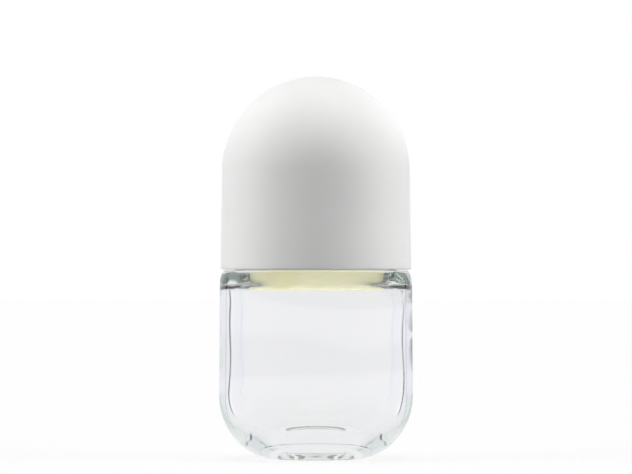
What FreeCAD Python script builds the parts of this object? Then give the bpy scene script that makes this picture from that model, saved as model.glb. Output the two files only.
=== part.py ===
"""Roll-on bottle: a blown glass bottle with a ball in a plug-in holder and a two-piece dome cap.

The axis of the bottle is Z, and Z is zero on the plane the bottle stands on. Lengths are in millimetres
and angles in degrees. Every piece is a section turned about Z. The radii are built up outwards from the
ball, so that each fit follows the piece inside it.
"""
import FreeCAD, Part
import math
import os
import Sketcher

SIZES = {
    # ball and holder
    "ball_radius": 12.7,
    "ball_wall": 1.4,
    "ball_clearance": 0.15,
    "ball_drop": 1.4,
    "cup_wall": 1.05,
    "lip_rise": 4.0,
    "lip_width": 0.9,
    "seat_radius": 7.4,
    "feed_slot_width": 1.8,
    "feed_slot_reach": 3.2,
    "feed_slot_count": 6,
    "plug_length": 14.3,
    "plug_land": 5.1,
    "plug_wall": 1.0,
    "plug_bead": 0.35,
    "plug_bead_first": 2.6,
    "plug_bead_pitch": 2.6,
    "plug_bead_count": 3,
    "plug_gap": 0.05,
    "flange_thickness": 1.2,
    "flange_inset": 0.2,
    # glass bottle
    "neck_wall": 2.0,
    "neck_height": 10.8,
    "neck_root": 0.7,
    "rim_edge": 0.6,
    "shoulder_height": 38.8,
    "shoulder_edge": 0.9,
    "shoulder_side": 4.7,
    "shoulder_angle": 26.5,
    "shoulder_inset": 0.2,
    "inside_drop": 4.2,
    "inside_radius": 2.0,
    "inside_angle": 30.0,
    "inside_height": 2.3,
    "bore_flare": 2.0,
    "body_draft": 0.15,
    "body_wall": 2.2,
    "heel_lower_radius": 10.4,
    "heel_upper_radius": 13.9,
    "heel_angle": 51.0,
    "foot_width": 1.7,
    "push_up": 1.6,
    "base_wall": 2.2,
    "cavity_heel": 10.0,
    # seal ring
    "seal_thickness": 1.4,
    "seal_gap": 0.05,
    "seal_clearance": 0.3,
    "seal_room": 0.2,
    "seal_edge": 0.3,
    # inner cap
    "thread_room": 0.95,
    "inner_wall": 1.1,
    "roof_thickness": 1.1,
    "crown_clearance": 0.9,
    "crown_room": 1.5,
    "crown_edge": 1.5,
    "press_radius": 7.5,
    "press_wall": 1.0,
    # dome cap
    "cap_gap": 0.2,
    "cap_fit": 0.1,
    "cap_skirt": 20.4,
    "cap_skirt_wall": 1.2,
    "cap_draft": 0.32,
    "cap_dome_wall": 1.5,
    "cap_rim_edge": 0.35,
    "snap_height": 1.0,
    "snap_bead": 0.3,
    "spline_count": 12,
    "spline_width": 1.2,
    "spline_height": 0.3,
}

doc = FreeCAD.newDocument("RollOnBottle")
sheet = doc.addObject("Spreadsheet::Sheet", "Sizes")
for row, (name, number) in enumerate(SIZES.items(), start=1):
    sheet.set(f"A{row}", name)
    sheet.set(f"B{row}", str(number))
    sheet.setAlias(f"B{row}", name)
doc.recompute()


class Size:
    """A length together with the expression on the sheet that it comes from."""

    def __init__(self, value, text):
        self.value = value
        self.text = text

    def __add__(self, other):
        other = as_size(other)
        return Size(self.value + other.value, f"({self.text} + {other.text})")

    def __sub__(self, other):
        other = as_size(other)
        return Size(self.value - other.value, f"({self.text} - {other.text})")

    def __mul__(self, other):
        other = as_size(other)
        return Size(self.value * other.value, f"({self.text} * {other.text})")

    def __truediv__(self, other):
        other = as_size(other)
        return Size(self.value / other.value, f"({self.text} / {other.text})")


def as_size(number):
    """A plain number as a Size."""
    if isinstance(number, Size):
        return number
    return Size(float(number), str(number))


def leg(slant, base):
    """The other short side of a right triangle with this slant side and base."""
    square = slant * slant - base * base
    return Size(math.sqrt(square.value), f"sqrt({square.text})")


def cosine(angle):
    """The cosine of an angle in degrees."""
    return Size(math.cos(math.radians(angle.value)), f"cos({angle.text})")


def sine(angle):
    """The sine of an angle in degrees."""
    return Size(math.sin(math.radians(angle.value)), f"sin({angle.text})")


def tangent_arcs(flat_radius, wall_radius, angle):
    """A rounded corner of two tangent arcs, one that ends on a flat and one that ends on a wall.

    The arcs meet where their normal is at this angle, in degrees, to the flat. Given back are how far the
    corner reaches along the flat and along the wall, and where the arcs meet, inwards from the wall and away
    from the flat.
    """
    more = wall_radius - flat_radius
    reach = wall_radius - more * cosine(angle)
    height = flat_radius + more * sine(angle)
    return reach, height, reach - flat_radius * cosine(angle), flat_radius - flat_radius * sine(angle)


def named(name):
    """The driving dimension of this name."""
    return Size(float(SIZES[name]), f"Sizes.{name}")


def new_body(label):
    """An empty body for one piece."""
    body = doc.addObject("PartDesign::Body", label.title().replace("_", ""))
    body.Label = label
    return body


def origin_item(body, role):
    """The plane or axis of the body's own origin that has this role."""
    return next(item for item in body.Origin.OriginFeatures if item.Role == role)


def pin(sketch, geometry, end, place, x, y):
    """Hold one end of a line or arc at (x, y), each bound to its expression."""
    for kind, size, axis in (("DistanceX", x, -2), ("DistanceY", y, -1)):
        if size.value == 0.0:
            sketch.addConstraint(Sketcher.Constraint("PointOnObject", geometry, end, axis))
            continue
        index = sketch.addConstraint(Sketcher.Constraint(kind, -1, 1, geometry, end, size.value))
        sketch.renameConstraint(index, f"{kind}_{place}")
        sketch.setExpression(f"Constraints.{kind}_{place}", size.text)


def outline(body, name, steps, role="XZ_Plane", lift=None):
    """A closed outline in a new sketch.

    Each step is (x, y) for a straight side to the next corner, or (x, y, radius, turn) for an arc to it,
    where turn is "left" or "right". The sketch may be lifted along the normal of its plane.
    """
    sketch = body.newObject("Sketcher::SketchObject", name)
    sketch.AttachmentSupport = (origin_item(body, role), [""])
    sketch.MapMode = "FlatFace"
    if lift is not None:
        sketch.AttachmentOffset = FreeCAD.Placement(FreeCAD.Vector(0, 0, lift.value), FreeCAD.Rotation())
        sketch.setExpression("AttachmentOffset.Base.z", lift.text)
    steps = [tuple(as_size(v) if not isinstance(v, str) else v for v in step) for step in steps]
    corners = [FreeCAD.Vector(step[0].value, step[1].value, 0) for step in steps]
    up = FreeCAD.Vector(0, 0, 1)
    ends = []
    for place, step in enumerate(steps):
        start = corners[place]
        finish = corners[(place + 1) % len(corners)]
        if len(step) == 2:
            geometry = sketch.addGeometry(Part.LineSegment(start, finish), False)
            ends.append((geometry, 1, 2))
            continue
        radius = step[2].value
        chord = finish - start
        sideways = FreeCAD.Vector(-chord.y, chord.x, 0).normalize()
        if step[3] == "right":
            sideways = sideways * -1
        reach = math.sqrt(max(radius ** 2 - (chord.Length / 2) ** 2, 0.0))
        centre = start + chord / 2 + sideways * reach
        first, last = (start, finish) if step[3] == "left" else (finish, start)
        angles = [math.atan2(point.y - centre.y, point.x - centre.x) for point in (first, last)]
        circle = Part.Circle(centre, up, radius)
        geometry = sketch.addGeometry(Part.ArcOfCircle(circle, angles[0], angles[1]), False)
        ends.append((geometry, 1, 2) if step[3] == "left" else (geometry, 2, 1))
    for place, (geometry, start_end, finish_end) in enumerate(ends):
        following, its_start = ends[(place + 1) % len(ends)][:2]
        sketch.addConstraint(Sketcher.Constraint("Coincident", geometry, finish_end, following, its_start))
    for place, step in enumerate(steps):
        geometry, start_end = ends[place][:2]
        pin(sketch, geometry, start_end, place, step[0], step[1])
        if len(step) == 4:
            index = sketch.addConstraint(Sketcher.Constraint("Radius", geometry, step[2].value))
            sketch.renameConstraint(index, f"Radius_{place}")
            sketch.setExpression(f"Constraints.Radius_{place}", step[2].text)
    doc.recompute()
    return sketch


def turned(body, kind, name, steps):
    """A section turned all the way about Z, as a Revolution that adds or a Groove that cuts."""
    sketch = outline(body, f"{name}Section", steps)
    feature = body.newObject(f"PartDesign::{kind}", name)
    feature.Profile = sketch
    feature.ReferenceAxis = (sketch, ["V_Axis"])
    feature.Angle = 360
    doc.recompute()
    return feature


def prism(body, kind, name, steps, lift, length):
    """A plan outline lifted to a height and drawn upwards, as a Pad that adds or a Pocket that cuts."""
    sketch = outline(body, f"{name}Plan", steps, role="XY_Plane", lift=lift)
    feature = body.newObject(f"PartDesign::{kind}", name)
    feature.Profile = sketch
    feature.Type = "Length"
    feature.Length = length.value
    feature.setExpression("Length", length.text)
    feature.Reversed = kind == "Pocket"
    doc.recompute()
    return feature


def around(body, feature, count):
    """The feature repeated evenly about Z."""
    pattern = body.newObject("PartDesign::PolarPattern", f"{feature.Name}Ring")
    pattern.Originals = [feature]
    pattern.Axis = (origin_item(body, "Z_Axis"), [""])
    pattern.Angle = 360
    pattern.Occurrences = int(count.value)
    pattern.setExpression("Occurrences", count.text)
    body.Tip = pattern
    doc.recompute()
    return pattern


# Radii, from the ball outwards.
ball = named("ball_radius")
socket = ball + named("ball_clearance")
cup = socket + named("cup_wall")
bore = cup + named("plug_bead") + named("plug_gap")
neck = bore + named("neck_wall")
thread_root = neck + named("thread_room")
inner_cap_radius = thread_root + named("inner_wall")
cap_socket = inner_cap_radius + named("cap_fit")
cap_rim = cap_socket + named("cap_skirt_wall")
cap_dome = cap_rim - named("cap_draft")
shoulder_radius = cap_rim + named("shoulder_inset")
body_radius = shoulder_radius + named("body_draft")
cavity = body_radius - named("body_wall")
flange = neck - named("flange_inset")

# Heights, from the foot upwards.
shoulder = named("shoulder_height")
rim = shoulder + named("neck_height")
ball_z = rim - named("ball_drop")
flange_top = rim + named("flange_thickness")
lip_top = ball_z + named("lip_rise")
seal_bottom = flange_top + named("seal_gap")
seal_top = seal_bottom + named("seal_thickness")
seal_roof = seal_top + named("seal_gap")
step_top = seal_roof + named("roof_thickness")
crown_roof = ball_z + ball + named("crown_room")
crown_top = crown_roof + named("roof_thickness")
cap_bottom = shoulder + named("cap_gap")
inner_cap_bottom = cap_bottom + named("snap_height")
ledge = step_top + named("cap_fit")
spring = cap_bottom + named("cap_skirt")

# The glass bottle: the outer form, then the hollow and bore, then the push-up under the foot.
# The heel and the shoulder are each two arcs that meet smoothly, tangent to the wall and to the flat.
heel_lower = named("heel_lower_radius")
heel_upper = named("heel_upper_radius")
heel_reach, heel, heel_in, heel_up = tangent_arcs(heel_lower, heel_upper, named("heel_angle"))
foot = body_radius - heel_reach
edge = named("shoulder_edge")
side = named("shoulder_side")
span, drop, shoulder_in, shoulder_down = tangent_arcs(edge, side, named("shoulder_angle"))
root = named("neck_root")
rim_edge = named("rim_edge")
glass_bottle = new_body("glass_bottle")
turned(glass_bottle, "Revolution", "OuterForm", [
    (0, 0),
    (foot, 0, heel_lower, "left"),
    (body_radius - heel_in, heel_up, heel_upper, "left"),
    (body_radius, heel),
    (shoulder_radius, shoulder - drop, side, "left"),
    (shoulder_radius - shoulder_in, shoulder - shoulder_down, edge, "left"),
    (shoulder_radius - span, shoulder),
    (neck + root, shoulder, root, "right"),
    (neck, shoulder + root),
    (neck, rim - rim_edge, rim_edge, "left"),
    (neck - rim_edge, rim),
    (0, rim),
])

push_up = named("push_up")
floor = push_up + named("base_wall")
cavity_heel = named("cavity_heel")

# Inside the shoulder the wall turns inwards on an arc, then slopes up to where the bore flares out.
inside_radius = named("inside_radius")
inside_angle = named("inside_angle")
inside_height = named("inside_height")
inside_cosine = cosine(inside_angle)
inside_sine = sine(inside_angle)
wall_top = shoulder - named("inside_drop")
slope_low = wall_top + inside_radius * inside_sine
slope_radius = cavity - inside_radius + inside_radius * inside_cosine
flare_low = slope_low + inside_height
flare_radius = slope_radius - inside_height * inside_sine / inside_cosine
flare_top = flare_low + named("bore_flare")
turned(glass_bottle, "Groove", "Hollow", [
    (0, floor),
    (cavity - cavity_heel, floor, cavity_heel, "left"),
    (cavity, floor + cavity_heel),
    (cavity, wall_top, inside_radius, "left"),
    (slope_radius, slope_low),
    (flare_radius, flare_low),
    (bore, flare_top),
    (bore, rim - rim_edge, rim_edge, "right"),
    (bore + rim_edge, rim),
    (0, rim),
])

push_up_radius = foot - named("foot_width")
push_up_arc = (push_up_radius * push_up_radius + push_up * push_up) / push_up / 2
turned(glass_bottle, "Groove", "PushUp", [
    (0, 0),
    (push_up_radius, 0, push_up_arc, "left"),
    (0, push_up),
])

# The ball holder: lip, flange, plug skirt with a plain land, and the cup that carries the ball on its seat.
bead = named("plug_bead")
plug_bottom = rim - named("plug_length")
plug_land = plug_bottom + named("plug_land")
plug_inner = cup - named("plug_wall")
seat = named("seat_radius")
lip_inner = leg(socket, named("lip_rise"))
ball_holder = new_body("ball_holder")
turned(ball_holder, "Revolution", "HolderForm", [
    (lip_inner, lip_top),
    (seat, ball_z - leg(socket, seat)),
    (seat, ball_z - leg(cup, seat), cup, "left"),
    (plug_inner, ball_z - leg(cup, plug_inner)),
    (plug_inner, plug_bottom),
    (cup + bead, plug_bottom),
    (cup + bead, plug_land),
    (cup, plug_land + bead),
    (cup, rim),
    (flange, rim),
    (flange, flange_top),
    (cup, flange_top),
    (lip_inner + named("lip_width"), lip_top),
])
turned(ball_holder, "Groove", "BallSocket", [
    (0, ball_z - socket, socket, "left"),
    (socket, ball_z, socket, "left"),
    (0, ball_z + socket),
])

bead_z = rim - named("plug_bead_first")
plug_bead = turned(ball_holder, "Revolution", "PlugBead", [
    (cup - bead, bead_z - bead),
    (cup, bead_z - bead, bead, "left"),
    (cup + bead, bead_z, bead, "left"),
    (cup, bead_z + bead),
    (cup - bead, bead_z + bead),
])
bead_row = ball_holder.newObject("PartDesign::LinearPattern", "PlugBeadRow")
bead_row.Originals = [plug_bead]
bead_row.Direction = (origin_item(ball_holder, "Z_Axis"), [""])
bead_row.Reversed = True
bead_row.Mode = "Spacing"
bead_row.Offset = named("plug_bead_pitch").value
bead_row.setExpression("Offset", named("plug_bead_pitch").text)
bead_row.Occurrences = int(SIZES["plug_bead_count"])
bead_row.setExpression("Occurrences", named("plug_bead_count").text)
ball_holder.Tip = bead_row
doc.recompute()

slot_half = named("feed_slot_width") / 2
slot_end = seat + named("feed_slot_reach")
feed_slot = prism(ball_holder, "Pocket", "FeedSlot", [
    (seat / 2, slot_half * -1),
    (slot_end, slot_half * -1),
    (slot_end, slot_half),
    (seat / 2, slot_half),
], plug_bottom, ball_z - plug_bottom)
around(ball_holder, feed_slot, named("feed_slot_count"))

# The ball: a hollow shell.
ball_inside = ball - named("ball_wall")
roller_ball = new_body("roller_ball")
turned(roller_ball, "Revolution", "BallForm", [
    (0, ball_z - ball, ball, "left"),
    (ball, ball_z, ball, "left"),
    (0, ball_z + ball),
    (0, ball_z + ball_inside, ball_inside, "right"),
    (ball_inside, ball_z, ball_inside, "right"),
    (0, ball_z - ball_inside),
])

# The seal ring: a flat ring with rounded edges, between the holder's flange and the inner cap's step.
seal_inner = cup + named("seal_clearance")
seal_edge = named("seal_edge")
seal_ring = new_body("seal_ring")
turned(seal_ring, "Revolution", "RingForm", [
    (seal_inner + seal_edge, seal_bottom),
    (flange - seal_edge, seal_bottom, seal_edge, "left"),
    (flange, seal_bottom + seal_edge),
    (flange, seal_top - seal_edge, seal_edge, "left"),
    (flange - seal_edge, seal_top),
    (seal_inner + seal_edge, seal_top, seal_edge, "left"),
    (seal_inner, seal_top - seal_edge),
    (seal_inner, seal_bottom + seal_edge, seal_edge, "left"),
])

# The inner cap: skirt over the neck, step over the seal ring, crown over the ball, ring that presses on it.
seal_recess = flange + named("seal_room")
crown = cup + named("crown_clearance")
crown_outer = crown + named("roof_thickness")
crown_edge = named("crown_edge")
press_inner = named("press_radius") - named("press_wall") / 2
press_outer = press_inner + named("press_wall")
inner_cap = new_body("inner_cap")
turned(inner_cap, "Revolution", "InnerCapForm", [
    (inner_cap_radius, inner_cap_bottom),
    (inner_cap_radius, step_top),
    (crown_outer, step_top),
    (crown_outer, crown_top - crown_edge, crown_edge, "left"),
    (crown_outer - crown_edge, crown_top),
    (0, crown_top),
    (0, crown_roof),
    (press_inner, crown_roof),
    (press_inner, ball_z + leg(socket, press_inner)),
    (press_outer, ball_z + leg(socket, press_outer)),
    (press_outer, crown_roof),
    (crown, crown_roof),
    (crown, seal_roof),
    (seal_recess, seal_roof),
    (seal_recess, flange_top),
    (thread_root, flange_top),
    (thread_root, inner_cap_bottom),
])

spline_half = named("spline_width") / 2
spline_inner = cap_socket - named("spline_height")
notch_floor = spline_inner - named("cap_fit")
notch_half = spline_half + named("cap_fit")
notch = prism(inner_cap, "Pocket", "SplineNotch", [
    (notch_floor, notch_half * -1),
    (cap_rim, notch_half * -1),
    (cap_rim, notch_half),
    (notch_floor, notch_half),
], inner_cap_bottom, step_top - inner_cap_bottom)
around(inner_cap, notch, named("spline_count"))

# The dome cap: a drafted skirt and a hemisphere, with a stepped inside that the inner cap seats in.
dome_inside = cap_dome - named("cap_dome_wall")
rim_round = named("cap_rim_edge")
snap = named("snap_bead")
snap_z = inner_cap_bottom - snap - named("cap_fit")
dome_cap = new_body("dome_cap")
turned(dome_cap, "Revolution", "DomeForm", [
    (cap_socket, cap_bottom),
    (cap_rim - rim_round, cap_bottom, rim_round, "left"),
    (cap_rim, cap_bottom + rim_round),
    (cap_dome, spring, cap_dome, "left"),
    (0, spring + cap_dome),
    (0, spring + dome_inside, dome_inside, "right"),
    (dome_inside, spring),
    (dome_inside, ledge),
    (cap_socket, ledge),
])
turned(dome_cap, "Revolution", "SnapBead", [
    (cap_socket + snap, snap_z - snap),
    (cap_socket + snap, snap_z + snap),
    (cap_socket, snap_z + snap, snap, "left"),
    (cap_socket - snap, snap_z, snap, "left"),
    (cap_socket, snap_z - snap),
])
spline = prism(dome_cap, "Pad", "Spline", [
    (spline_inner, spline_half * -1),
    (cap_socket + snap, spline_half * -1),
    (cap_socket + snap, spline_half),
    (spline_inner, spline_half),
], inner_cap_bottom, step_top - inner_cap_bottom)
around(dome_cap, spline, named("spline_count"))

doc.recompute()
for item in doc.Objects:
    if "Invalid" in item.State or "Error" in item.State:
        raise RuntimeError(f"{item.Label} did not build: {item.State}")

os.makedirs("parts", exist_ok=True)
for piece in (glass_bottle, ball_holder, roller_ball, seal_ring, inner_cap, dome_cap):
    shape = piece.Shape
    if shape.isNull() or not shape.isValid() or len(shape.Solids) != 1:
        raise RuntimeError(f"{piece.Label} is not one valid solid")
    shape.exportStep(f"parts/{piece.Label}.step")
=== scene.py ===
"""Looks of the roll-on bottle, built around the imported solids.

Every piece is a section in the half plane (r, z) turned about the bottle's axis Z. Where the real piece
isn't round, as at a thread, a spline or the uneven inside of the glass, the radius also changes with the
angle. Sections are written in millimetres and scaled to metres when the mesh is made.
"""
import math

import bpy
import numpy as np
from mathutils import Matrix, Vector


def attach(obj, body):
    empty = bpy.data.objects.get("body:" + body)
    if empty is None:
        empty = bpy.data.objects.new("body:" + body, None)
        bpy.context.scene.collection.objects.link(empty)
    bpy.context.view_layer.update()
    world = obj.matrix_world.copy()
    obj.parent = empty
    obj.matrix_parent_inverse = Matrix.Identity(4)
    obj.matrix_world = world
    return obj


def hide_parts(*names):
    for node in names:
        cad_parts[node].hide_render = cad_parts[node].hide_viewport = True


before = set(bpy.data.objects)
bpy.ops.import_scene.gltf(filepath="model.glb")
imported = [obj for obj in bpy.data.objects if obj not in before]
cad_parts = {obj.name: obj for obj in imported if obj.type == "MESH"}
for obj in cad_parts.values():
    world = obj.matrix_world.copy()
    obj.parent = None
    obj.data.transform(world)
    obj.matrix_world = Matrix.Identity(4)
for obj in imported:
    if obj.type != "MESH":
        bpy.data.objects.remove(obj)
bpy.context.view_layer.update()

MM = 0.001

# Sizes of the solids, in millimetres.
BALL_R = 12.7
BALL_Z = 48.2
SOCKET_R = 12.85
CUP_R = 13.9
BORE_R = 14.3
NECK_R = 16.3
FLANGE_R = 16.1
THREAD_ROOT_R = 17.25
INNER_CAP_R = 18.35
CAP_SOCKET_R = 18.45
CAP_RIM_R = 19.65
DOME_R = 19.33
DOME_INSIDE_R = 17.83
SHOULDER_R = 19.85
BODY_R = 20.0
CAVITY_R = 17.8
SHOULDER_Z = 38.8
RIM_Z = 49.6
FLANGE_TOP = 50.8
LIP_TOP = 52.2
CAP_BOTTOM = 39.0
INNER_CAP_BOTTOM = 40.0
SEAL_LOW, SEAL_HIGH = 50.85, 52.25
SEAL_ROOF = 52.3
STEP_TOP = 53.4
CROWN_R = 14.8
CROWN_ROOF = 62.4
CROWN_TOP = 63.5
LEDGE_Z = 53.5
SPRING_Z = 59.4
THREAD_LEAD = 4.0

# The room as the glass shows it: linear colours, and angles in degrees from straight behind the object.
BACK_SHEET = (0.84, 0.837, 0.857)
BACK_EDGE = (0.8, 0.815, 0.865)
SIDE_SHEET = (0.93, 0.92, 0.94)
FRONT_OF_ROOM = (0.85, 0.85, 0.85)
DIM_GAP = (0.15, 0.155, 0.165)
BACK_PLAIN, BACK_FADE = 9.0, 2.0
GAP_NEAR, GAP_FAR, GAP_SOFT = 41.4, 45.8, 1.0

# Strength of the room overhead, its strength for light on its way to the plastic inside the glass, and the
# distance from the axis, in metres, from which the dim gap's angle is taken on the floor.
UPPER_ROOM = 0.8
INSIDE_LIGHT = 2.1
FLOOR_GAP_START = 0.019

# The soft sheets that light the pieces: lean along Y, where a sheet starts and is full, and its strength.
SIDE_LEAN, SIDE_START, SIDE_FULL, SIDE_STRENGTH = -0.2, 0.74, 0.96, 5.4
TOP_LEAN, TOP_START, TOP_FULL, TOP_STRENGTH = 0.06, 0.93, 0.99, 6.6

# The glass as it was blown: the thread on its neck, and the heights between which its inside is uneven.
THREAD_RISE, THREAD_LOW, THREAD_TURNS, THREAD_WIDTH, THREAD_FADE = 0.8, 42.0, 1.35, 2.0, 0.5
WAVE_LOW, WAVE_TOP = 8.0, 35.0
RIPPLE_LOW, RIPPLE_TOP, RIPPLE_EDGE = 35.2, 39.7, 0.8
SEAM_R, SEAM_HALF, SEAM_RISE = 10.2, 0.45, 0.07
INSIDE_TILT = 30.0


# Sections and meshes


def straight(start, stop, count):
    """Points spaced evenly on the straight run from start to stop."""
    t = np.linspace(0.0, 1.0, count)[:, None]
    return np.asarray(start, float) * (1 - t) + np.asarray(stop, float) * t


def bend(centre, radius, first, last, count):
    """Points on an arc: centre plus radius times (cos a, sin a), a in degrees from first to last."""
    a = np.radians(np.linspace(first, last, count))
    return np.asarray(centre, float) + radius * np.stack([np.cos(a), np.sin(a)], axis=1)


def two_arc_corner(span, height, small, count):
    """A corner from a wall to a flat that reaches span inwards and height down the wall, as two tangent arcs.

    The small arc, radius small, ends on the flat. The large one starts on the wall, and its radius follows
    from the two being tangent: (span^2 + (height - small)^2 - small^2) / (2 (span - small)). Points are
    offsets from the sharp corner, (outwards, towards the flat), from the wall to the flat.
    """
    large = (span ** 2 + (height - small) ** 2 - small ** 2) / (2 * (span - small))
    meet = math.degrees(math.atan2(height - small, large - span))
    return section(
        bend((-large, -height), large, 0, meet, count),
        bend((-span, -small), small, meet, 90, count),
    )


def section(*runs):
    """The runs joined into one line of (r, z) points, with points that repeat left out."""
    points = np.concatenate(runs)
    apart = np.linalg.norm(np.diff(points, axis=0), axis=1) > 1e-6
    return points[np.concatenate([[True], apart])]


def turned(name, points, segments, shape=None, sharp=40.0):
    """A section turned about Z: x = r cos a, y = r sin a, z = z, on a grid of section points by angles.

    shape(r, z, a) may return other r and z for each grid point. A section that starts and ends on the axis is
    closed there by a fan, and any other section is closed on itself. The section runs anticlockwise around
    the material in the half plane, so that the faces point outwards.
    """
    a = np.arange(segments) * (2 * math.pi / segments)
    on_axis = points[0, 0] < 1e-6 and points[-1, 0] < 1e-6
    rings = points[1:-1] if on_axis else points
    r, angle = np.meshgrid(rings[:, 0], a, indexing="ij")
    z = np.repeat(rings[:, 1:2], segments, axis=1)
    if shape is not None:
        r, z = shape(r, z, angle)
    verts = np.stack([r * np.cos(angle), r * np.sin(angle), z], axis=-1).reshape(-1, 3)
    count = len(rings)
    low = np.arange(count - 1 if on_axis else count)[:, None] * segments
    high = (low + segments) % (count * segments)
    here = np.arange(segments)[None, :]
    there = (here + 1) % segments
    quads = np.stack([low + here, low + there, high + there, high + here], axis=-1).reshape(-1, 4)
    fans = np.zeros((0, 3), int)
    if on_axis:
        first, last = len(verts), len(verts) + 1
        poles = np.array([[0, 0, z[0].mean()], [0, 0, z[-1].mean()]])
        poles[0, 2] = points[0, 1] if shape is None else 2 * z[0].mean() - z[1].mean()
        poles[1, 2] = points[-1, 1] if shape is None else 2 * z[-1].mean() - z[-2].mean()
        verts = np.concatenate([verts, poles])
        top = (count - 1) * segments
        fans = np.concatenate([
            np.stack([np.full(segments, first), there[0], here[0]], axis=1),
            np.stack([top + here[0], top + there[0], np.full(segments, last)], axis=1),
        ])
    mesh = bpy.data.meshes.new(name)
    corners = np.concatenate([quads.ravel(), fans.ravel()])
    sizes = np.concatenate([np.full(len(quads), 4), np.full(len(fans), 3)])
    mesh.vertices.add(len(verts))
    mesh.vertices.foreach_set("co", (verts * MM).astype(np.float32).ravel())
    mesh.loops.add(len(corners))
    mesh.loops.foreach_set("vertex_index", corners.astype(np.int32))
    mesh.polygons.add(len(sizes))
    mesh.polygons.foreach_set("loop_start", np.concatenate([[0], np.cumsum(sizes)[:-1]]).astype(np.int32))
    mesh.polygons.foreach_set("use_smooth", np.ones(len(sizes), bool))
    mesh.update(calc_edges=True)
    mesh.validate()
    mesh.set_sharp_from_angle(angle=math.radians(sharp))
    piece = bpy.data.objects.new(name, mesh)
    bpy.context.scene.collection.objects.link(piece)
    return piece


def ease(t):
    """The smooth step 3t^2 - 2t^3 of t held between 0 and 1."""
    t = np.clip(t, 0.0, 1.0)
    return t * t * (3 - 2 * t)


def thread_ridge(z, a, start_z, turns, width, fade):
    """Height, 0 to 1, of a right-hand ridge that climbs one lead a turn.

    On turn k the ridge's middle is at start_z + lead * (a / 2 pi + k). Across it the height is a smooth step
    down from the middle to half the width, and it fades in and out over an angle at its two ends.
    """
    height = np.zeros_like(z)
    for k in range(int(math.ceil(turns))):
        along = a + 2 * math.pi * k
        middle = start_z + THREAD_LEAD * along / (2 * math.pi)
        across = ease(1.6 * (1.0 - np.abs(z - middle) / (0.5 * width)))
        ends = ease(along / fade) * ease((2 * math.pi * turns - along) / fade)
        height = np.maximum(height, across * ends)
    return height


# Materials


def linear(code):
    """An sRGB hex colour as linear red, green, blue and 1."""
    parts = [int(code[i:i + 2], 16) / 255 for i in (1, 3, 5)]
    return tuple(c / 12.92 if c <= 0.04045 else ((c + 0.055) / 1.055) ** 2.4 for c in parts) + (1.0,)


def add(tree, kind, inputs=None, **settings):
    """Adds one node, sets its properties, and sets or links its inputs."""
    made = tree.nodes.new(kind)
    for key, value in settings.items():
        setattr(made, key, value)
    for socket, value in (inputs or {}).items():
        if isinstance(value, bpy.types.NodeSocket):
            tree.links.new(value, made.inputs[socket])
        else:
            made.inputs[socket].default_value = value
    return made


def new_material(name):
    """An empty node material, with its tree and output."""
    made = bpy.data.materials.new(name)
    made.use_nodes = True
    made.node_tree.nodes.clear()
    return made, made.node_tree, made.node_tree.nodes.new("ShaderNodeOutputMaterial")


def fire_polished_glass():
    """Soda-lime glass, blown and fire polished.

    Its skin is perfectly smooth, so it is seen by what it bends and mirrors. The absorption gives the faint
    green that shows only where light runs far in it, at the shoulder and the heel.
    """
    made, tree, out = new_material("soda_lime_glass_fire_polished")
    shader = add(tree, "ShaderNodeBsdfPrincipled", {
        "Base Color": linear("#ffffff"), "Roughness": 0.0, "IOR": 1.52, "Transmission Weight": 1.0,
    })
    inside = add(tree, "ShaderNodeVolumeAbsorption", {"Color": (0.5, 0.65, 0.55, 1.0), "Density": 11.0})
    tree.links.new(shader.outputs["BSDF"], out.inputs["Surface"])
    tree.links.new(inside.outputs["Volume"], out.inputs["Volume"])
    return made


def moulded_plastic(name, pale, dark, roughness, grit_mm, relief_mm, cloud_mm,
                    glow=0.0, glow_mm=1.0, coat=0.0):
    """Injection-moulded plastic.

    The colour drifts between two close tones in clouds of cloud_mm, as the melt cools unevenly. A grit of
    grit_mm and relief_mm is the texture of the steel, which also varies the roughness a little. A glow is
    light that travels glow_mm under the skin, and a coat is a polished skin over it.
    """
    made, tree, out = new_material(name)
    place = add(tree, "ShaderNodeTexCoord").outputs["Object"]
    cloud = add(tree, "ShaderNodeTexNoise", {"Vector": place, "Scale": 1000.0 / cloud_mm, "Detail": 3.0})
    grit = add(tree, "ShaderNodeTexNoise", {"Vector": place, "Scale": 1000.0 / grit_mm, "Detail": 2.0})
    ramp = add(tree, "ShaderNodeValToRGB", {"Fac": cloud.outputs["Fac"]})
    ramp.color_ramp.elements[0].position = 0.35
    ramp.color_ramp.elements[0].color = linear(dark)
    ramp.color_ramp.elements[1].position = 0.65
    ramp.color_ramp.elements[1].color = linear(pale)
    rough = add(tree, "ShaderNodeMapRange", {
        "Value": grit.outputs["Fac"], "To Min": roughness - 0.05, "To Max": roughness + 0.05,
    })
    bump = add(tree, "ShaderNodeBump", {
        "Height": grit.outputs["Fac"], "Strength": 1.0, "Distance": relief_mm * MM,
    })
    shader = add(tree, "ShaderNodeBsdfPrincipled", {
        "Base Color": ramp.outputs["Color"], "Roughness": rough.outputs["Result"], "IOR": 1.49,
        "Normal": bump.outputs["Normal"], "Coat Weight": coat, "Coat Roughness": 0.08,
        "Subsurface Weight": glow, "Subsurface Radius": (1.0, 0.9, 0.7), "Subsurface Scale": glow_mm * MM,
    })
    tree.links.new(shader.outputs["BSDF"], out.inputs["Surface"])
    return made


# The glass bottle


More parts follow.
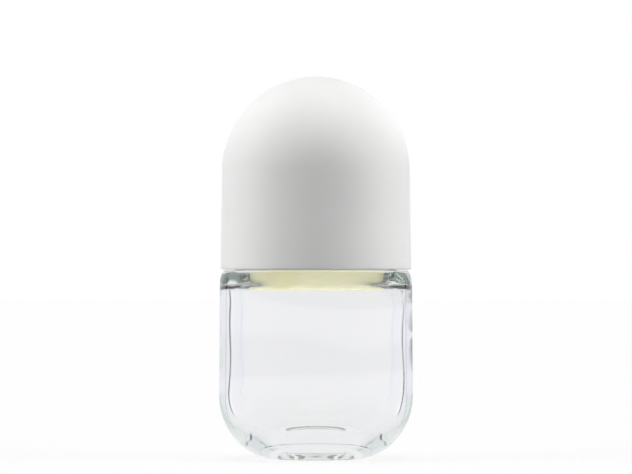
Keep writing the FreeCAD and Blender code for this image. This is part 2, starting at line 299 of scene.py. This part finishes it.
def uneven_inside(r, z, a):
    """The neck's thread outside, and the inside of blown glass, which is never quite round.

    The outside of the neck grows by THREAD_RISE on the thread's ridge. Points of the hollow's wall, told by a
    radius well inside the outer form, move in or out by low waves: a lean to one side towards the top, a
    swell along Z and a three-sided wave. The sloping inner shoulder has finer ripples. A fine raised ring
    under the heel is the seam where the mould's base plate met its halves.
    """
    neck = (np.abs(r - NECK_R) < 0.02) & (z > SHOULDER_Z + 0.6)
    ridge = thread_ridge(z, a, THREAD_LOW, THREAD_TURNS, THREAD_WIDTH, THREAD_FADE)
    r = np.where(neck, r + THREAD_RISE * ridge, r)
    wall = (r > CAVITY_R - 4.0) & (r < CAVITY_R + 0.02) & (z < WAVE_TOP)
    run = ease((z - WAVE_LOW) / 6.0) * ease((WAVE_TOP - z) / 4.0)
    lean = 0.25 * np.cos(a) * ease((z - 14.0) / 17.0)
    swell = -0.12 * np.cos(2 * math.pi * (z - 24.5) / 16.0) + 0.05 * np.cos(3 * a + 0.35 * z)
    r = np.where(wall, r + run * (lean + swell), r)
    # The inner shoulder lies below a line of its own tilt, and the outside of the neck's root above it.
    inner = r + z * math.tan(math.radians(INSIDE_TILT)) < 38.5
    slope = inner & (r > BORE_R + 0.02) & (r < CAVITY_R - 0.05) & (z > RIPPLE_LOW)
    fade = ease((z - RIPPLE_LOW) / RIPPLE_EDGE) * ease((RIPPLE_TOP - z) / RIPPLE_EDGE)
    ripple = 0.025 * np.cos(9 * a + 2.2 * z) + 0.02 * np.cos(17 * a - 1.3 * z + 1.0)
    r = np.where(slope, r + fade * ripple, r)
    seam = ease(1.0 - np.abs(r - SEAM_R) / SEAM_HALF) * (z < 1.0)
    return r, z - SEAM_RISE * seam


def bottle_section():
    """Push-up, foot ring, heel of two arcs, drafted wall, shoulder, neck, rim, bore, flare, hollow, floor."""
    foot_r, heel_z, heel_low = 8.3, 13.1, 10.4
    heel = two_arc_corner(BODY_R - foot_r, heel_z, heel_low, 56) * (1, -1) + (BODY_R, 0)
    shoulder_in, shoulder_drop = 1.3, 2.6
    shoulder = two_arc_corner(shoulder_in, shoulder_drop, 0.9, 14) + (SHOULDER_R, SHOULDER_Z)
    root_r, rim_r = 0.7, 0.6
    push_r, push_up = 6.6, 1.6
    push_arc = (push_r ** 2 + push_up ** 2) / push_up / 2
    push_half = math.degrees(math.asin(push_r / push_arc))
    wall_top, inside_r = 34.6, 2.0
    slope_r = CAVITY_R - inside_r * (1 - math.cos(math.radians(INSIDE_TILT)))
    slope_low = wall_top + inside_r * math.sin(math.radians(INSIDE_TILT))
    flare_low, flare_top = 37.9, 39.9
    flare_r = slope_r - (flare_low - slope_low) * math.tan(math.radians(INSIDE_TILT))
    floor_z, floor_r = 3.8, 10.0
    return section(
        bend((0, push_up - push_arc), push_arc, 90, 90 - push_half, 14),
        straight((push_r, 0), (foot_r, 0), 5),
        heel[::-1],
        straight((BODY_R, heel_z), (SHOULDER_R, SHOULDER_Z - shoulder_drop), 14),
        shoulder,
        straight((SHOULDER_R - shoulder_in, SHOULDER_Z), (NECK_R + root_r, SHOULDER_Z), 4),
        bend((NECK_R + root_r, SHOULDER_Z + root_r), root_r, 270, 180, 8),
        straight((NECK_R, SHOULDER_Z + root_r), (NECK_R, RIM_Z - rim_r), 64),
        bend((NECK_R - rim_r, RIM_Z - rim_r), rim_r, 0, 90, 8),
        straight((NECK_R - rim_r, RIM_Z), (BORE_R + rim_r, RIM_Z), 3),
        bend((BORE_R + rim_r, RIM_Z - rim_r), rim_r, 90, 180, 8),
        straight((BORE_R, RIM_Z - rim_r), (BORE_R, flare_top), 8),
        straight((BORE_R, flare_top), (flare_r, flare_low), 10),
        straight((flare_r, flare_low), (slope_r, slope_low), 16),
        bend((CAVITY_R - inside_r, wall_top), inside_r, INSIDE_TILT, 0, 16),
        straight((CAVITY_R, wall_top), (CAVITY_R, floor_z + floor_r), 36),
        bend((CAVITY_R - floor_r, floor_z + floor_r), floor_r, 0, -90, 34),
        straight((CAVITY_R - floor_r, floor_z), (0, floor_z), 16),
    )


bottle = turned("bottle_glass", bottle_section(), 240, uneven_inside, sharp=60.0)
bottle.data.materials.append(fire_polished_glass())
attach(bottle, "bottle")
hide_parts("glass_bottle")

# The ball holder, ball and seal ring


def holder_section():
    """Lip, socket, seat, cup, plug skirt with three beads, flange, and the lip's sloping outside."""
    seat_r = 7.4
    plug_in = 12.9
    plug_low = 35.3
    land_r, land_top = BORE_R - 0.05, 40.4
    lip_rise = 4.0
    lip_in = math.sqrt(SOCKET_R ** 2 - lip_rise ** 2)
    top = math.degrees(math.asin(lip_rise / SOCKET_R))
    seat_in = -math.degrees(math.acos(seat_r / SOCKET_R))
    seat_out = -math.degrees(math.acos(seat_r / CUP_R))
    skirt = -math.degrees(math.acos(plug_in / CUP_R))
    beads = []
    for z in (41.8, 44.4, 47.0):
        beads.append(straight((CUP_R, z - 1.0), (CUP_R, z - 0.35), 3))
        beads.append(bend((CUP_R, z), 0.35, -90, 90, 9))
    return section(
        bend((0, BALL_Z), SOCKET_R, top, seat_in, 60),
        bend((0, BALL_Z), CUP_R, seat_out, skirt, 24),
        straight((plug_in, BALL_Z + CUP_R * math.sin(math.radians(skirt))), (plug_in, plug_low + 0.2), 6),
        bend((plug_in + 0.2, plug_low + 0.2), 0.2, 180, 270, 4),
        bend((land_r - 0.2, plug_low + 0.2), 0.2, -90, 0, 6),
        straight((land_r, plug_low + 0.2), (land_r, land_top), 6),
        straight((land_r, land_top), (CUP_R, land_top + 0.4), 3),
        *beads,
        straight((CUP_R, 47.6), (CUP_R, RIM_Z), 4),
        straight((CUP_R, RIM_Z), (FLANGE_R - 0.2, RIM_Z), 3),
        bend((FLANGE_R - 0.2, RIM_Z + 0.2), 0.2, -90, 0, 4),
        bend((FLANGE_R - 0.25, FLANGE_TOP - 0.25), 0.25, 0, 90, 5),
        straight((FLANGE_R - 0.3, FLANGE_TOP), (CUP_R + 0.05, FLANGE_TOP), 4),
        straight((CUP_R, FLANGE_TOP), (lip_in + 0.95, LIP_TOP - 0.15), 5),
        bend((lip_in + 0.75, LIP_TOP - 0.2), 0.2, 30, 90, 4),
        straight((lip_in + 0.7, LIP_TOP), (lip_in + 0.02, LIP_TOP), 4),
    )


holder = turned("ball_holder_moulding", holder_section(), 192)
# Undyed polyethylene: a waxy cream that light sinks into, soft at the edges.
holder.data.materials.append(moulded_plastic(
    "ldpe_natural_moulded", "#f1eed2", "#eae6c2", 0.36, 0.5, 0.004, 9.0, glow=1.0, glow_mm=4.0))
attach(holder, "bottle")
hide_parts("ball_holder")


def ball_section():
    """Half a circle, in two runs that meet at the equator."""
    return section(
        bend((0, BALL_Z), BALL_R, -90, -0.5, 60),
        bend((0, BALL_Z), BALL_R, 0.5, 90, 60),
    )


ball = turned("roller_ball_polished", ball_section(), 160)
# A ground and polished ball: a smooth, wet-looking white with a small sharp highlight.
ball.data.materials.append(moulded_plastic(
    "pp_white_ball_ground_and_polished", "#f3f2ec", "#eceae2", 0.16, 1.2, 0.003, 6.0, glow=0.1, coat=0.3))
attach(ball, "ball")
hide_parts("roller_ball")


def seal_section():
    """A rectangle with rounded corners."""
    inner, edge = CUP_R + 0.3, 0.3
    return section(
        bend((FLANGE_R - edge, SEAL_LOW + edge), edge, -90, 0, 6),
        bend((FLANGE_R - edge, SEAL_HIGH - edge), edge, 0, 90, 6),
        bend((inner + edge, SEAL_HIGH - edge), edge, 90, 180, 6),
        bend((inner + edge, SEAL_LOW + edge), edge, 180, 270, 6),
    )


seal = turned("seal_ring_soft", seal_section(), 160)
# Closed-cell foam: dull and faintly pitted.
seal.data.materials.append(moulded_plastic(
    "pe_foam_closed_cell", "#ebebe6", "#dfdfd8", 0.7, 0.35, 0.05, 2.5))
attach(seal, "seal")
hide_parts("seal_ring")

# The two-piece cap


def inner_cap_section():
    """Roof, pressing ring, crown, seat of the seal ring, threaded skirt, outside, step and crown."""
    press_in, press_out = 7.0, 8.0
    press_low = BALL_Z + math.sqrt(SOCKET_R ** 2 - press_in ** 2)
    press_lower = BALL_Z + math.sqrt(SOCKET_R ** 2 - press_out ** 2)
    crown_out = CROWN_R + 1.1
    return section(
        straight((0, CROWN_ROOF), (press_in - 0.3, CROWN_ROOF), 6),
        bend((press_in - 0.3, CROWN_ROOF - 0.3), 0.3, 90, 0, 5),
        straight((press_in, CROWN_ROOF - 0.4), (press_in, press_low), 4),
        straight((press_in, press_low), (press_out, press_lower), 4),
        straight((press_out, press_lower), (press_out, CROWN_ROOF - 0.3), 4),
        bend((press_out + 0.3, CROWN_ROOF - 0.3), 0.3, 180, 90, 5),
        straight((press_out + 0.4, CROWN_ROOF), (CROWN_R - 0.6, CROWN_ROOF), 5),
        bend((CROWN_R - 0.6, CROWN_ROOF - 0.6), 0.6, 90, 0, 7),
        straight((CROWN_R, CROWN_ROOF - 0.7), (CROWN_R, SEAL_ROOF), 8),
        straight((CROWN_R, SEAL_ROOF), (FLANGE_R + 0.2, SEAL_ROOF), 4),
        straight((FLANGE_R + 0.2, SEAL_ROOF), (FLANGE_R + 0.2, FLANGE_TOP), 4),
        straight((FLANGE_R + 0.2, FLANGE_TOP), (THREAD_ROOT_R, FLANGE_TOP), 4),
        straight((THREAD_ROOT_R, FLANGE_TOP - 0.05), (THREAD_ROOT_R, INNER_CAP_BOTTOM + 0.3), 90),
        straight((THREAD_ROOT_R + 0.05, INNER_CAP_BOTTOM + 0.25), (THREAD_ROOT_R + 0.3, INNER_CAP_BOTTOM), 3),
        straight((THREAD_ROOT_R + 0.3, INNER_CAP_BOTTOM), (INNER_CAP_R, INNER_CAP_BOTTOM), 3),
        straight((INNER_CAP_R, INNER_CAP_BOTTOM), (INNER_CAP_R, STEP_TOP), 10),
        straight((INNER_CAP_R, STEP_TOP), (crown_out, STEP_TOP), 4),
        straight((crown_out, STEP_TOP), (crown_out, CROWN_TOP - 1.5), 6),
        bend((crown_out - 1.5, CROWN_TOP - 1.5), 1.5, 0, 90, 10),
        straight((crown_out - 1.6, CROWN_TOP), (0, CROWN_TOP), 8),
    )


def inner_cap_form(r, z, a):
    """The inside skirt shrinks by rise on a ridge that fills the gap between the neck's turns."""
    skirt = np.abs(r - THREAD_ROOT_R) < 0.02
    turns, width, rise = 1.6, 1.9, 0.75
    ridge = thread_ridge(z, a, INNER_CAP_BOTTOM, turns, width, THREAD_FADE)
    return np.where(skirt, r - rise * ridge, r), z


inner_cap = turned("cap_closure_threaded", inner_cap_section(), 192, inner_cap_form, sharp=35.0)
# Plain moulded polypropylene, as the tool left it: white with a soft shine.
inner_cap.data.materials.append(moulded_plastic(
    "pp_white_moulded_semi_gloss", "#f1f1ec", "#e9e9e2", 0.3, 0.6, 0.003, 8.0, glow=0.1))
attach(inner_cap, "cap")
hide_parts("inner_cap")


def dome_section():
    """Inside of the dome, ledge, socket, snap bead, rim, drafted skirt and hemisphere."""
    snap_z = 39.6
    return section(
        bend((0, SPRING_Z), DOME_INSIDE_R, 90, 0, 40),
        straight((DOME_INSIDE_R, SPRING_Z), (DOME_INSIDE_R, LEDGE_Z), 6),
        straight((DOME_INSIDE_R, LEDGE_Z), (CAP_SOCKET_R, LEDGE_Z), 3),
        straight((CAP_SOCKET_R, LEDGE_Z), (CAP_SOCKET_R, snap_z + 0.3), 12),
        bend((CAP_SOCKET_R, snap_z), 0.3, 90, 270, 9),
        straight((CAP_SOCKET_R, snap_z - 0.3), (CAP_SOCKET_R, CAP_BOTTOM + 0.1), 2),
        straight((CAP_SOCKET_R + 0.1, CAP_BOTTOM), (CAP_RIM_R - 0.35, CAP_BOTTOM), 4),
        bend((CAP_RIM_R - 0.35, CAP_BOTTOM + 0.35), 0.35, -90, 0, 9),
        straight((CAP_RIM_R, CAP_BOTTOM + 0.35), (DOME_R, SPRING_Z), 24),
        bend((0, SPRING_Z), DOME_R, 0, 90, 72),
    )


dome = turned("dome_cap_shell", dome_section(), 240, sharp=50.0)
# Polypropylene from a spark-eroded mould: a fine even grain that shades softly, with no highlight.
dome.data.materials.append(moulded_plastic(
    "pp_matte_white_spark_textured", "#f3f3f2", "#efefee", 0.52, 0.22, 0.006, 14.0))
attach(dome, "cap")
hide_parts("dome_cap")

# Stage, light and camera


def colour_stops(ramp, stops):
    """Sets a colour ramp to a list of (place, linear red, green, blue)."""
    while len(ramp.elements) < len(stops):
        ramp.elements.new(0.5)
    for element, (place, red, green, blue) in zip(ramp.elements, stops):
        element.position = place
        element.color = (red, green, blue, 1.0)


def room_in_glass(tree, x, y, clear, start=0.0):
    """Colour of the white room as the glass shows it, by the angle from straight behind.

    The angle, as a share of half a turn, is atan2(|x| - start, y) / pi: start moves the two sides apart. The
    back sheet ends in a narrow dim gap, which draws the fine dark line down each side of the thick glass.
    Past it come the side sheets, a little bluer, and a little grey in front. Where clear is 1 there is no
    gap.
    """
    side = add(tree, "ShaderNodeMath", {0: x}, operation="ABSOLUTE")
    past = add(tree, "ShaderNodeMath", {0: side.outputs[0], 1: start}, operation="SUBTRACT")
    turn = add(tree, "ShaderNodeMath", {0: past.outputs[0], 1: y}, operation="ARCTAN2")
    share = add(tree, "ShaderNodeMath", {0: turn.outputs[0], 1: math.pi}, operation="DIVIDE")
    around = add(tree, "ShaderNodeValToRGB", {"Fac": share.outputs[0]})
    colour_stops(around.color_ramp, [
        (0.0, *BACK_SHEET),
        (BACK_PLAIN / 180, *BACK_SHEET),
        ((BACK_PLAIN + BACK_FADE) / 180, *BACK_EDGE),
        (GAP_NEAR / 180, *BACK_EDGE),
        ((GAP_NEAR + GAP_SOFT) / 180, *DIM_GAP),
        (GAP_FAR / 180, *DIM_GAP),
        ((GAP_FAR + GAP_SOFT) / 180, *SIDE_SHEET),
        (0.6, *SIDE_SHEET),
        (0.8, *FRONT_OF_ROOM),
        (1.0, *FRONT_OF_ROOM),
    ])
    return add(tree, "ShaderNodeMix", {
        0: clear, 6: around.outputs["Color"], 7: (*BACK_SHEET, 1.0),
    }, data_type="RGBA").outputs[2]


def glass_rays(tree, rays):
    """1 for a ray that last went through or off a smooth surface, otherwise 0."""
    return add(tree, "ShaderNodeMath", {
        0: rays.outputs["Is Transmission Ray"], 1: rays.outputs["Is Glossy Ray"],
    }, operation="MAXIMUM").outputs[0]


def inside_level(tree, rays):
    """Strength of the room: 1 as seen in the glass, more for light on its way to the plastic inside it."""
    return add(tree, "ShaderNodeMapRange", {
        "Value": rays.outputs["Diffuse Depth"], "To Min": 1.0, "To Max": INSIDE_LIGHT,
    }).outputs["Result"]


def floor_sheet():
    """A flat square of floor, 6 m a side, on the plane the bottle stands on.

    The camera sees a white sheet that keeps a soft shadow. In and through the glass it is the room's white,
    brighter near the object, and it sends back less light to the pieces than the camera sees.
    """
    half = 3.0
    mesh = bpy.data.meshes.new("floor")
    corners = [(-half, -half, 0), (half, -half, 0), (half, half, 0), (-half, half, 0)]
    mesh.from_pydata(corners, [], [(0, 1, 2, 3)])
    piece = bpy.data.objects.new("floor", mesh)
    bpy.context.scene.collection.objects.link(piece)
    made, tree, out = new_material("pale_floor")
    rays = add(tree, "ShaderNodeLightPath")
    tone = add(tree, "ShaderNodeMix", {
        0: rays.outputs["Is Diffuse Ray"], 6: linear("#f8f8f8"), 7: linear("#585858"),
    }, data_type="RGBA")
    sheet = add(tree, "ShaderNodeBsdfDiffuse", {"Color": tone.outputs[2], "Roughness": 0.0})
    white = add(tree, "ShaderNodeEmission", {"Color": (1.0, 1.0, 1.0, 1.0), "Strength": 1.0})
    lift = add(tree, "ShaderNodeMath", {0: rays.outputs["Is Camera Ray"], 1: 0.85}, operation="MULTIPLY")
    paper = add(tree, "ShaderNodeMixShader", {0: lift.outputs[0], 1: sheet.outputs[0], 2: white.outputs[0]})
    place = add(tree, "ShaderNodeTexCoord").outputs["Object"]
    parts = add(tree, "ShaderNodeSeparateXYZ", {"Vector": place})
    away = add(tree, "ShaderNodeVectorMath", {0: place}, operation="LENGTH")
    nearer = add(tree, "ShaderNodeMapRange", {
        "Value": away.outputs["Value"], "From Min": 0.1, "From Max": 1.6, "To Min": 1.06, "To Max": 1.0,
    })
    clear = add(tree, "ShaderNodeMapRange", {
        "Value": away.outputs["Value"], "From Min": 0.026, "From Max": 0.034, "To Min": 1.0, "To Max": 0.0,
    })
    level = add(tree, "ShaderNodeMath", {
        0: nearer.outputs["Result"], 1: inside_level(tree, rays),
    }, operation="MULTIPLY")
    colour = room_in_glass(
        tree, parts.outputs["X"], parts.outputs["Y"], clear.outputs["Result"], FLOOR_GAP_START)
    room = add(tree, "ShaderNodeEmission", {"Color": colour, "Strength": level.outputs[0]})
    seen = add(tree, "ShaderNodeMixShader", {
        0: glass_rays(tree, rays), 1: paper.outputs[0], 2: room.outputs[0],
    })
    tree.links.new(seen.outputs[0], out.inputs["Surface"])
    mesh.materials.append(made)


def studio_light():
    """A white room with a tall soft sheet on each side of the object and one above it.

    The camera sees plain white. The pieces are lit by the two side sheets, which grow with |x| of the ray,
    and by the top sheet, which grows with z. The glass shows the room instead, dimmer overhead.
    """
    world = bpy.data.worlds.new("white_room")
    bpy.context.scene.world = world
    world.use_nodes = True
    tree = world.node_tree
    tree.nodes.clear()
    out = tree.nodes.new("ShaderNodeOutputWorld")
    way = add(tree, "ShaderNodeTexCoord").outputs["Generated"]
    parts = add(tree, "ShaderNodeSeparateXYZ", {"Vector": way})
    side = add(tree, "ShaderNodeMath", {0: parts.outputs["X"]}, operation="ABSOLUTE")
    forward = add(tree, "ShaderNodeMath", {
        0: parts.outputs["Y"], 1: SIDE_LEAN, 2: side.outputs[0],
    }, operation="MULTIPLY_ADD")
    side_sheets = add(tree, "ShaderNodeMapRange", {
        "Value": forward.outputs[0], "From Min": SIDE_START, "From Max": SIDE_FULL, "To Max": SIDE_STRENGTH,
    }, interpolation_type="SMOOTHSTEP")
    backward = add(tree, "ShaderNodeMath", {
        0: parts.outputs["Y"], 1: TOP_LEAN, 2: parts.outputs["Z"],
    }, operation="MULTIPLY_ADD")
    top_sheet = add(tree, "ShaderNodeMapRange", {
        "Value": backward.outputs[0], "From Min": TOP_START, "From Max": TOP_FULL, "To Max": TOP_STRENGTH,
    }, interpolation_type="SMOOTHSTEP")
    sheets = add(tree, "ShaderNodeMath", {
        0: side_sheets.outputs["Result"], 1: top_sheet.outputs["Result"],
    }, operation="ADD")
    rays = add(tree, "ShaderNodeLightPath")
    lit = add(tree, "ShaderNodeBackground", {"Color": (1, 1, 1, 1), "Strength": sheets.outputs[0]})
    clear = add(tree, "ShaderNodeMapRange", {"Value": parts.outputs["Z"], "From Min": 0.1, "From Max": 0.25})
    upper = add(tree, "ShaderNodeMapRange", {
        "Value": parts.outputs["Z"], "From Min": 0.3, "From Max": 0.6, "To Min": 1.0, "To Max": UPPER_ROOM,
    })
    level = add(tree, "ShaderNodeMath", {
        0: upper.outputs["Result"], 1: inside_level(tree, rays),
    }, operation="MULTIPLY")
    room = add(tree, "ShaderNodeBackground", {
        "Color": room_in_glass(tree, parts.outputs["X"], parts.outputs["Y"], clear.outputs["Result"]),
        "Strength": level.outputs[0],
    })
    plain = add(tree, "ShaderNodeBackground", {"Color": (1, 1, 1, 1), "Strength": 1.0})
    mirrored = add(tree, "ShaderNodeMixShader", {
        0: glass_rays(tree, rays), 1: lit.outputs[0], 2: room.outputs[0],
    })
    seen = add(tree, "ShaderNodeMixShader", {
        0: rays.outputs["Is Camera Ray"], 1: mirrored.outputs[0], 2: plain.outputs[0],
    })
    tree.links.new(seen.outputs[0], out.inputs["Surface"])


def photo_camera():
    """A long lens, level with the cap's seam: 632 pixels span 130.4 mm at the axis."""
    distance, span = 825.0, 130.43
    eye_z, aim_z = 41.4, 45.7
    eye = Vector((0.0, -distance, eye_z)) * MM
    aim = Vector((0.0, 0.0, aim_z)) * MM
    data = bpy.data.cameras.new("photo_camera")
    data.sensor_width = 36.0
    data.sensor_fit = "HORIZONTAL"
    data.lens = data.sensor_width * distance / span
    data.clip_start = 0.05
    data.clip_end = 50.0
    camera = bpy.data.objects.new("photo_camera", data)
    bpy.context.scene.collection.objects.link(camera)
    camera.location = eye
    camera.rotation_euler = (aim - eye).to_track_quat("-Z", "Y").to_euler()
    bpy.context.scene.camera = camera


floor_sheet()
studio_light()
photo_camera()
bpy.context.scene.view_settings.view_transform = "Standard"

# Light crosses the thick glass of the heel many times before it leaves.
bpy.context.scene.cycles.max_bounces = 32
bpy.context.scene.cycles.glossy_bounces = 24
bpy.context.scene.cycles.transmission_bounces = 32
